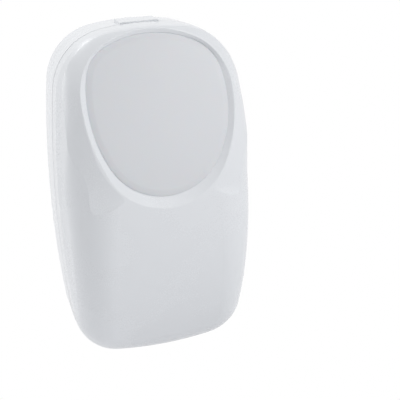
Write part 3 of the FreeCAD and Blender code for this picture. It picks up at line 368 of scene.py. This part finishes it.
# Places on the circuit board, from its middle, in metres
SCREW_RIGHT, SCREW_UP, TINNED_RING = 0.0275, 0.046, 0.0042
PRINT_GAP, PRINT_HALF = 0.0006, 0.0001
LEAD_REACH, DIMPLE_IN, DIMPLE_RADIUS = 0.0011, 0.0011, 0.0006
RESISTOR_LENGTH, RESISTOR_PITCH = 0.0020, 0.0034
NYLON_DEPTH = 0.0131


def beyond(node, x, z, less_x=0.0, less_z=0.0):
    """How far a point lies outside a piece's outline, seen from the front."""
    low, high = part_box(node)
    middle, half = (low + high) / 2, (high - low) / 2
    return ((x - middle.x).absolute() - (half.x - less_x)).larger(
        (z - middle.z).absolute() - (half.z - less_z)
    )


def circuit_laminate(name, mask, flat=False, outlined=()):
    """Solder mask over copper tracks, with tinned holes and printed outlines."""
    finish = Finish(name, IOR=1.5, Coat_Weight=0.4, Coat_Roughness=0.12)
    spot = finish.place()
    laid = spot if flat else finish.node(
        "ShaderNodeMapping", {}, {"Vector": spot, "Rotation": (math.pi / 2, 0.0, 0.0)}
    )
    tracks = finish.node(
        "ShaderNodeTexBrick", {"offset": 0.37, "offset_frequency": 3, "squash": 0.6},
        {"Vector": laid, "Scale": 160.0, "Mortar Size": 0.035, "Mortar Smooth": 0.3,
         "Brick Width": 1.7, "Row Height": 0.15},
        output="Fac",
    )
    broad = finish.noise(70.0, 1.0)
    routed = tracks * broad.above(0.44)
    pour = broad.below(0.41)
    dots = finish.node("ShaderNodeTexVoronoi", {}, {"Vector": spot, "Scale": 230.0})
    holes = dots.below(0.10) * finish.noise(110.0, 1.0).above(0.5)
    weave = finish.noise(1400.0, 2.0)
    copper = (0.75 * routed + 0.5 * pour).clamped()
    tint = finish.blend(copper, rgb(mask), rgb(shade(mask, 2.0)))
    tinned = holes
    if outlined:
        x, _, z = finish.places()
        from_screw = (x.absolute() - SCREW_RIGHT).across(z.absolute() - SCREW_UP)
        tinned = tinned.larger(from_screw.below(TINNED_RING))
        printed = reduce(Signal.larger, [
            (beyond(node, x, z) - PRINT_GAP).absolute().below(PRINT_HALF) for node in outlined
        ])
        tint = finish.blend(printed, tint, rgb((0.78, 0.78, 0.76)))
    tint = finish.blend(tinned, tint, rgb((0.66, 0.65, 0.62)))
    return finish.surface(
        Base_Color=tint,
        Metallic=0.9 * tinned,
        Roughness=0.34 + 0.08 * weave - 0.06 * tinned,
        Normal=finish.bump(copper + 0.3 * weave + tinned, 0.00005, 0.6),
    )


def leaded_chip(name, node, reach_x, reach_z=LEAD_REACH):
    """Moulded epoxy with tinned leads past its sides, and a dimple at its first corner."""
    finish = Finish(name, IOR=1.5)
    x, _, z = finish.places()
    leads = beyond(node, x, z, reach_x, reach_z).above(0.0)
    low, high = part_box(node)
    dimple = (x - (low.x + reach_x + DIMPLE_IN)).across(z - (high.z - reach_z - DIMPLE_IN))
    grain = finish.noise(2600.0, 2.0)
    tint = finish.blend(grain, rgb((0.016, 0.016, 0.018)), rgb((0.030, 0.030, 0.032)))
    return finish.surface(
        Base_Color=finish.blend(leads, tint, rgb((0.66, 0.66, 0.65))),
        Metallic=leads,
        Roughness=0.52 + 0.08 * grain - 0.22 * leads,
        Normal=finish.bump(grain * 0.2 - dimple.below(DIMPLE_RADIUS), 0.0001, 0.6),
    )


def capped_chip(name, node):
    """Small ceramic chips in a row: dark coat between two tinned ends."""
    finish = Finish(name, IOR=1.5)
    x, _, _ = finish.places()
    along = (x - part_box(node)[0].x) % RESISTOR_PITCH
    ends = (along - RESISTOR_LENGTH / 2).absolute().above(RESISTOR_LENGTH * 0.29)
    grain = finish.noise(1800.0, 2.0)
    tint = finish.blend(grain, rgb((0.020, 0.020, 0.024)), rgb((0.040, 0.040, 0.044)))
    return finish.surface(
        Base_Color=finish.blend(ends, tint, rgb((0.70, 0.70, 0.69))),
        Metallic=0.9 * ends,
        Roughness=0.36 + 0.08 * grain,
        Normal=finish.bump(grain, 0.00002, 0.5),
    )


def pinned_header(name):
    """Black nylon with gilt pins that stand out of it."""
    finish = Finish(name, IOR=1.5)
    _, y, _ = finish.places()
    pins = y.below(-NYLON_DEPTH)
    grain = finish.noise(1500.0, 2.0)
    tint = finish.blend(grain, rgb((0.020, 0.020, 0.020)), rgb((0.034, 0.034, 0.034)))
    return finish.surface(
        Base_Color=finish.blend(pins, tint, rgb((0.86, 0.66, 0.26))),
        Metallic=pins,
        Roughness=0.42 + 0.05 * grain - 0.18 * pins,
        Normal=finish.bump(grain, 0.00003, 0.5),
    )


def sleeved_can(name, sleeve):
    """Capacitors: dark striped sleeve round the side, scored aluminium on the end, with painted
    shade darkening the score.
    """
    finish = Finish(name, IOR=1.5)
    x, y, z = finish.places()
    low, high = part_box("capacitors")
    radius, end = (high.z - low.z) / 2, low.y + 0.0003
    rolled_edge, score_half = 0.0005, 0.00018
    up = z - (low.z + radius)
    right = (x - (low.x + radius)).absolute().smaller((x - (high.x - radius)).absolute())
    outward = right.across(up)
    bare = y.below(end) * outward.below(radius - rolled_edge)
    stripe = up.above(radius * 0.72) * y.above(end)
    # The score mask both cuts the groove in the bump and darkens its colour as painted shade.
    score_and_shade = right.smaller(up.absolute()).below(score_half) * outward.below(radius * 0.7)
    grain = finish.noise(900.0, 3.0)
    tint = finish.blend(stripe, rgb(sleeve), rgb((0.55, 0.57, 0.60)))
    tint = finish.blend(bare, tint, rgb((0.72, 0.72, 0.73)))
    return finish.surface(
        # Painted shade: the score line's darker colour stands for the shade in its groove.
        Base_Color=finish.blend(bare * score_and_shade, tint, rgb((0.42, 0.42, 0.43))),
        Metallic=bare,
        Roughness=0.32 + 0.10 * grain,
        Normal=finish.bump(0.2 * grain - score_and_shade, 0.0001, 0.6),
    )


def clear_moulding(name, tint):
    """Clear acrylic with faint flow."""
    finish = Finish(name, IOR=1.49, Transmission_Weight=0.9)
    flow = finish.noise(60.0, 3.0)
    return finish.surface(
        Base_Color=finish.blend(flow, rgb(shade(tint, 0.97)), rgb(tint)),
        Roughness=0.04 + 0.06 * flow,
        Normal=finish.bump(flow, 0.00005, 0.3),
    )


# Forms

PANE_SIDES = 216
OUTLINE_WAVES = 18
PANE_WALL, FLANGE_WIDTH = 0.0014, 0.00105
SKIRT_TOP, FLANGE_FRONT, FLANGE_BACK = 0.0019, 0.0021, 0.0032
SHOULDER_ROUND = 1.2


def crown_terms(points):
    """The terms of a crowned surface that is alike on its left and right."""
    unit = 0.03
    across = (points[:, 0] / unit) ** 2
    along = (points[:, 2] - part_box("window")[0].z) / unit - 1.0
    return np.stack([across ** i * along ** j for i in range(3) for j in range(5)], axis=1)


def fit_crown(points):
    """The weights of the terms that lay a crowned surface through points."""
    return np.linalg.lstsq(crown_terms(points), points[:, 1], rcond=None)[0]


def even_turns(middle, points):
    """A smooth closed line through points round a middle, at even turns."""
    out = points - middle
    turn = np.arctan2(out[:, 2], out[:, 0])
    order = np.argsort(turn)
    even = np.linspace(-math.pi, math.pi, PANE_SIDES, endpoint=False)
    reach = np.hypot(out[:, 0], out[:, 2])[order]
    waves = np.fft.rfft(np.interp(even, turn[order], reach, period=2 * math.pi))
    waves[OUTLINE_WAVES:] = 0.0
    smooth = np.fft.irfft(waves, PANE_SIDES)
    return np.stack([smooth * np.cos(even), 0.0 * even, smooth * np.sin(even)], axis=1), even


def read_window():
    """The CAD window's crown, as weights, its middle and the outline of its skirt."""
    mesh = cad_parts["window"].data
    normals = np.array([face.normal[:] for face in mesh.polygons])
    centres = np.array([face.center[:] for face in mesh.polygons])
    low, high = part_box("window")
    middle = (np.array(low) + np.array(high)) / 2
    out = (centres - middle) * (1.0, 0.0, 1.0)
    reach = np.linalg.norm(out, axis=1)
    front = normals[:, 1] < -0.7
    crown = fit_crown(centres[front & (reach < 0.024)])
    sink = centres[:, 1] - crown_terms(centres) @ crown
    facing = (normals * out).sum(axis=1) / np.maximum(reach, 1e-6)
    side = (facing > 0.8) & (np.abs(sink - 0.0014) < 0.0008)
    outline, even = even_turns(middle, centres[side])
    edge = np.interp(
        np.arctan2(out[:, 2], out[:, 0]), even, np.linalg.norm(outline, axis=1),
        period=2 * math.pi,
    )
    crown = fit_crown(centres[front & (reach < edge - 0.0015) & (np.abs(sink) < 0.0009)])
    return crown, middle, outline


def moulded_pane(width, fall, raised, stand_out):
    """The window: crowned front, broad rounded shoulder, skirt, flange and hollow back."""
    crown, middle, outline = read_window()
    along = np.roll(outline, -1, axis=0) - np.roll(outline, 1, axis=0)
    away = np.stack([along[:, 2], 0.0 * along[:, 0], -along[:, 0]], axis=1)
    away /= np.linalg.norm(away, axis=1)[:, None]

    def ring(offset, drop, shrink=1.0):
        points = middle + (outline + away * (stand_out + offset)) * (shrink, 1.0, shrink)
        points[:, 1] = crown_terms(points) @ crown + drop
        return points

    rings = [ring(-width, -raised, part) for part in np.linspace(0.04, 0.98, 14)]
    for share in np.linspace(0.0, 1.0, 13):
        turned = 1.0 - (1.0 - share ** SHOULDER_ROUND) ** (1.0 / SHOULDER_ROUND)
        rings.append(ring(width * (share - 1.0), fall * turned - raised))
    skirt, flange, hollow = -stand_out, FLANGE_WIDTH - stand_out, -PANE_WALL - stand_out
    rings += [ring(offset, drop) for offset, drop in (
        (0.0, SKIRT_TOP), (skirt, SKIRT_TOP + 0.0001), (skirt, FLANGE_FRONT),
        (flange, FLANGE_FRONT), (flange, FLANGE_BACK), (hollow, FLANGE_BACK),
        (hollow, PANE_WALL + 0.0005),
    )]
    rings += [ring(-width, PANE_WALL + 0.0001, part) for part in np.linspace(0.98, 0.04, 10)]
    mesh = bmesh.new()
    loops = [[mesh.verts.new(point) for point in points] for points in rings]
    for first, second in zip(loops, loops[1:]):
        for place in range(PANE_SIDES):
            after = (place + 1) % PANE_SIDES
            mesh.faces.new((first[place], first[after], second[after], second[place]))
    mesh.faces.new(loops[0])
    mesh.faces.new(loops[-1])
    bmesh.ops.recalc_face_normals(mesh, faces=mesh.faces)
    pane = bpy.data.meshes.new("window_pane")
    mesh.to_mesh(pane)
    mesh.free()
    pane.shade_smooth()
    pane.set_sharp_from_angle(angle=math.radians(40.0))
    return pane


# Operators, one to each piece or group of like pieces

class DressHousing(bpy.types.Operator):
    """Finish the front cover and the rear shell in glossy white"""

    bl_idname = "detector.housing"
    bl_label = "Housing"

    def execute(self, context):
        settings = context.scene.detector_housing
        white = moulded_white(
            "housing_white", tuple(settings.colour), settings.gloss, settings.edge
        )
        dress("front_cover", white)
        dress("back_shell", white)
        return {"FINISHED"}


class DressWindow(bpy.types.Operator):
    """Finish the infrared window in matt white"""

    bl_idname = "detector.window"
    bl_label = "Window"

    def execute(self, context):
        settings = context.scene.detector_window
        pane = moulded_pane(
            settings.shoulder, settings.fall, settings.raised, settings.stand_out
        )
        matt = matt_window("window_matt", tuple(settings.colour), settings.gloss)
        pane.materials.append(matt)
        item = bpy.data.objects.new("window_pane", pane)
        context.scene.collection.objects.link(item)
        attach(item, "cover")
        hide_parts("window")
        dress("window", matt)
        return {"FINISHED"}


class DressOptic(bpy.types.Operator):
    """Finish the mirror, its frame and the sensor under it"""

    bl_idname = "detector.optic"
    bl_label = "Optic"

    def execute(self, context):
        dress("mirror_optic", mirror_plate("mirror_plated"))
        dress("optic_frame", plain_plastic("frame_black", (0.020, 0.020, 0.022)))
        can = metal("sensor_can_steel", (0.66, 0.64, 0.60), 0.28)
        dress("pyro_can", can)
        dress("pyro_base", can)
        dress("pyro_filter", plain_plastic("filter_coated", (0.05, 0.035, 0.055), 0.12))
        return {"FINISHED"}


class DressBoards(bpy.types.Operator):
    """Finish the circuit boards"""

    bl_idname = "detector.boards"
    bl_label = "Boards"

    def execute(self, context):
        mask = tuple(context.scene.detector_inside.board)
        dress("circuit_board", circuit_laminate("board_mask", mask, outlined=(
            "relay", "controller_chip", "amplifier_chip", "crystal", "tamper_switch",
            "terminal_block", "jumper_header", "capacitors", "chip_resistors",
        )))
        dress("sensor_board", circuit_laminate("sensor_board_mask", mask, flat=True))
        return {"FINISHED"}


class DressTerminals(bpy.types.Operator):
    """Finish the terminal block with its screws and clamps"""

    bl_idname = "detector.terminals"
    bl_label = "Terminals"

    def execute(self, context):
        green = tuple(context.scene.detector_inside.terminals)
        dress("terminal_block", plain_plastic("terminal_green", green, 0.4))
        zinc = metal("screw_zinc", (0.70, 0.70, 0.70), 0.3)
        dress("terminal_screws", zinc)
        dress("board_screws", zinc)
        dress("terminal_clamps", metal("clamp_brass", (0.72, 0.62, 0.38), 0.3))
        return {"FINISHED"}


class DressComponents(bpy.types.Operator):
    """Finish the components on the circuit board"""

    bl_idname = "detector.components"
    bl_label = "Components"

    def execute(self, context):
        dress("controller_chip", leaded_chip("controller_epoxy", "controller_chip", LEAD_REACH))
        dress("amplifier_chip", leaded_chip("amplifier_epoxy", "amplifier_chip", 0.0))
        dress("chip_resistors", capped_chip("resistor_ends", "chip_resistors"))
        dress("jumper_header", pinned_header("jumper_nylon"))
        dress("link_header", pinned_header("link_nylon"))
        dress("relay", plain_plastic("relay_white", (0.70, 0.70, 0.68), 0.35))
        dress("capacitors", sleeved_can("capacitor_sleeve", (0.012, 0.014, 0.035)))
        dress("crystal", metal("crystal_can", (0.68, 0.68, 0.70), 0.26))
        dress("jumper_links", plain_plastic("link_blue", (0.02, 0.06, 0.30), 0.35))
        return {"FINISHED"}


class DressIndicator(bpy.types.Operator):
    """Finish the indicator lamp and its light guide"""

    bl_idname = "detector.indicator"
    bl_label = "Indicator"

    def execute(self, context):
        dress("lamp", clear_moulding("lamp_red", (0.75, 0.03, 0.02)))
        dress("light_guide", clear_moulding("guide_clear", (0.93, 0.94, 0.95)))
        return {"FINISHED"}


class DressTamper(bpy.types.Operator):
    """Finish the tamper switch and its plunger"""

    bl_idname = "detector.tamper"
    bl_label = "Tamper switch"

    def execute(self, context):
        dress("tamper_switch", plain_plastic("switch_black", (0.022, 0.022, 0.024), 0.42))
        dress("tamper_plunger", plain_plastic("plunger_white", (0.62, 0.62, 0.60), 0.35))
        return {"FINISHED"}


CAMERA_ANGLE = 23.24
CAMERA_PLACE = (-0.1083, -0.4208, 0.1456)


class SetStage(bpy.types.Operator):
    """Set the floor, the lamps, the surround and the camera"""

    bl_idname = "detector.stage"
    bl_label = "Stage"

    def execute(self, context):
        settings = context.scene.detector_stage
        self.floor(context)
        self.lamp(context, "key", settings.key, (45.0, 48.0))
        self.lamp(context, "front", settings.front, (20.0, 12.0))
        self.lamp(context, "side", settings.side, (-120.0, 12.0))
        self.lamp(context, "rim", settings.rim, (-150.0, 48.0))
        self.surround(context, settings.surround)
        self.camera(context)
        context.scene.view_settings.view_transform = "Standard"
        return {"FINISHED"}

    def floor(self, context):
        half, clear = 3.0, 0.004
        level = cad_box[0][2] - clear
        mesh = bpy.data.meshes.new("floor")
        corners = [(-half, -half, level), (half, -half, level),
                   (half, half, level), (-half, half, level)]
        mesh.from_pydata(corners, [], [(0, 1, 2, 3)])
        item = bpy.data.objects.new("floor", mesh)
        context.scene.collection.objects.link(item)
        mesh.materials.append(self.white_when_seen(
            bpy.data.materials.new("floor_white"), "ShaderNodeBsdfDiffuse",
            "ShaderNodeEmission", "ShaderNodeOutputMaterial", {"Color": rgb((0.86, 0.86, 0.87))},
        ))

    def white_when_seen(self, owner, lit_kind, seen_kind, output_kind, lit_values):
        """White to the camera, to glossy and to clear surfaces; as given to the light."""
        network = Network(owner)
        camera, glossy, clear = network.node("ShaderNodeLightPath", output=(
            "Is Camera Ray", "Is Glossy Ray", "Is Transmission Ray"
        ))
        lit = network.node(lit_kind, {}, lit_values)
        seen = network.node(seen_kind, {}, {"Color": rgb((1.0, 1.0, 1.0)), "Strength": 1.0})
        mixed = network.node(
            "ShaderNodeMixShader", {}, (camera.larger(glossy).larger(clear), lit, seen)
        )
        network.node(output_kind, {}, {"Surface": mixed}, output=())
        return owner

    def lamp(self, context, name, power, toward):
        """A square lamp turned to the detector: degrees to the right of the front, and up."""
        side, away, aim = 0.45, 0.9, Vector((0.0, -0.03, 0.0))
        turn, rise = map(math.radians, toward)
        way = Vector((
            math.sin(turn) * math.cos(rise), -math.cos(turn) * math.cos(rise), math.sin(rise)
        ))
        data = bpy.data.lights.new(name, "AREA")
        data.energy = power
        data.size = side
        item = bpy.data.objects.new(name, data)
        item.location = aim + away * way
        item.rotation_euler = (-way).to_track_quat("-Z", "Y").to_euler()
        context.scene.collection.objects.link(item)

    def surround(self, context, strength):
        context.scene.world = self.white_when_seen(
            bpy.data.worlds.new("surround"), "ShaderNodeBackground",
            "ShaderNodeBackground", "ShaderNodeOutputWorld",
            {"Color": rgb((0.97, 0.985, 1.0)), "Strength": strength},
        )

    def camera(self, context):
        data = bpy.data.cameras.new("camera")
        data.angle = math.radians(CAMERA_ANGLE)
        item = bpy.data.objects.new("camera", data)
        right = Vector((0.9447, -0.3264, -0.0308))
        up = Vector((0.1409, 0.3193, 0.9372))
        back = Vector((-0.2961, -0.8897, 0.3476))
        turn = Matrix((right, up, back)).transposed().to_4x4()
        item.matrix_world = Matrix.Translation(CAMERA_PLACE) @ turn
        context.scene.collection.objects.link(item)
        context.scene.camera = item


STEPS = (
    DressHousing, DressWindow, DressOptic, DressBoards, DressTerminals,
    DressComponents, DressIndicator, DressTamper, SetStage,
)


SETTINGS = {
    "detector_housing": HousingSettings,
    "detector_window": WindowSettings,
    "detector_inside": InsideSettings,
    "detector_stage": StageSettings,
}


class DetectorPanel(bpy.types.Panel):
    """The detector's settings and steps in the sidebar"""

    bl_idname = "VIEW3D_PT_detector"
    bl_label = "Motion Detector"
    bl_space_type = "VIEW_3D"
    bl_region_type = "UI"
    bl_category = "Detector"

    def draw(self, context):
        layout = self.layout
        for group in SETTINGS:
            for name in getattr(context.scene, group).bl_rna.properties.keys():
                if name not in ("rna_type", "name"):
                    layout.prop(getattr(context.scene, group), name)
        for step in STEPS:
            layout.operator(step.bl_idname)


def register():
    for group in SETTINGS.values():
        bpy.utils.register_class(group)
    for step in (*STEPS, DetectorPanel):
        bpy.utils.register_class(step)
    for name, group in SETTINGS.items():
        setattr(bpy.types.Scene, name, PointerProperty(type=group))


def unregister():
    for name in SETTINGS:
        delattr(bpy.types.Scene, name)
    for step in reversed((*STEPS, DetectorPanel)):
        bpy.utils.unregister_class(step)
    for group in reversed(tuple(SETTINGS.values())):
        bpy.utils.unregister_class(group)


def main():
    register()
    bpy.ops.detector.housing()
    bpy.ops.detector.window()
    bpy.ops.detector.optic()
    bpy.ops.detector.boards()
    bpy.ops.detector.terminals()
    bpy.ops.detector.components()
    bpy.ops.detector.indicator()
    bpy.ops.detector.tamper()
    bpy.ops.detector.stage()


if __name__ == "__main__":
    main()
